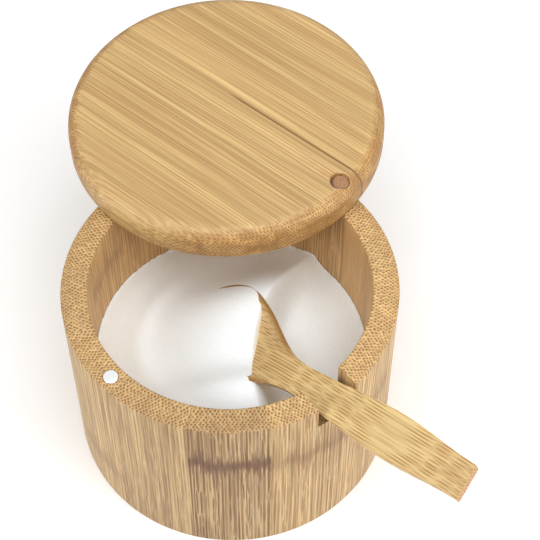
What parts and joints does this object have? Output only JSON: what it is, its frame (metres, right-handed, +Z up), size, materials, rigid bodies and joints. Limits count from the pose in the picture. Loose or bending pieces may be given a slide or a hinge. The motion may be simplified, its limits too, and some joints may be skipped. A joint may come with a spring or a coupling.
{
  "type": "salt box",
  "caption": "Round bamboo salt box with a flat lid that swivels on a pivot at the rim and shuts on a magnet, with a wooden scoop leaning in a notch of the rim.",
  "frame": {"origin": "on the axis of the cup, on the flat face it stands on", "axes": "+Z up along the cup's axis; the notch with the scoop lies towards +X -Y and the pivot of the lid towards +X +Y"},
  "size_m": [0.1029, 0.1706, 0.0804],
  "materials": {
    "bamboo_cup": "bamboo, fine sanded and oiled, end grain at the rim",
    "bamboo_base": "bamboo, fine sanded",
    "bamboo_lid": "bamboo, fine sanded and oiled",
    "bamboo_scoop": "pale bamboo, sanded",
    "plug_wood": "brown wood, dull",
    "screw_steel": "zinc plated",
    "magnet_nickel": "bright nickel plating",
    "salt_white": "fine white grains"
  },
  "bodies": {
    "cup": {"body": "bamboo_cup", "base_disc": "bamboo_base", "pivot_screw": "screw_steel", "rim_magnet": "magnet_nickel", "salt": "salt_white"},
    "lid": {"lid": "bamboo_lid", "pivot_plug": "plug_wood", "lid_magnet": "magnet_nickel"},
    "scoop": {"scoop": "bamboo_scoop"}
  },
  "joints": [
    {"name": "lid_swivel", "type": "hinge", "parent": "cup", "child": "lid", "pos_m": [0.03066, 0.026, 0.06265], "axis": [0, 0, 1], "range_deg": [-97.9, 82.1]},
    {"name": "scoop_lift", "type": "slide", "parent": "cup", "child": "scoop", "axis": [0.361, -0.4458, 0.8192], "range_m": [0, 0.062]}
  ]
}
